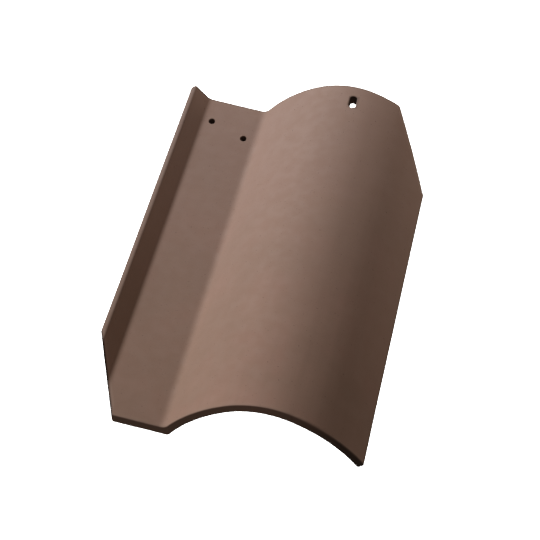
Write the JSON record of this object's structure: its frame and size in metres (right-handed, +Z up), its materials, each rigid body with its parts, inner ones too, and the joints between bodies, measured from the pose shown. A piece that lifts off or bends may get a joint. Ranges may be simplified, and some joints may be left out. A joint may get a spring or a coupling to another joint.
{
  "type": "spanish s roof tile",
  "caption": "S-shaped roof tile of fired clay: upturned lip, flat pan and arched barrel, with nail holes, a slot and two cut corners.",
  "frame": {"origin": "bottom centre of the box that holds the tile, on the floor that the tile rests on", "axes": "+X across the tile from the lip towards the barrel, +Y along the tile from its exposed front end to its head end, +Z up"},
  "size_m": [0.274, 0.46, 0.0628],
  "materials": {
    "fired_clay": "matte"
  },
  "bodies": {
    "root": {"roof_tile": "fired_clay"}
  },
  "joints": []
}
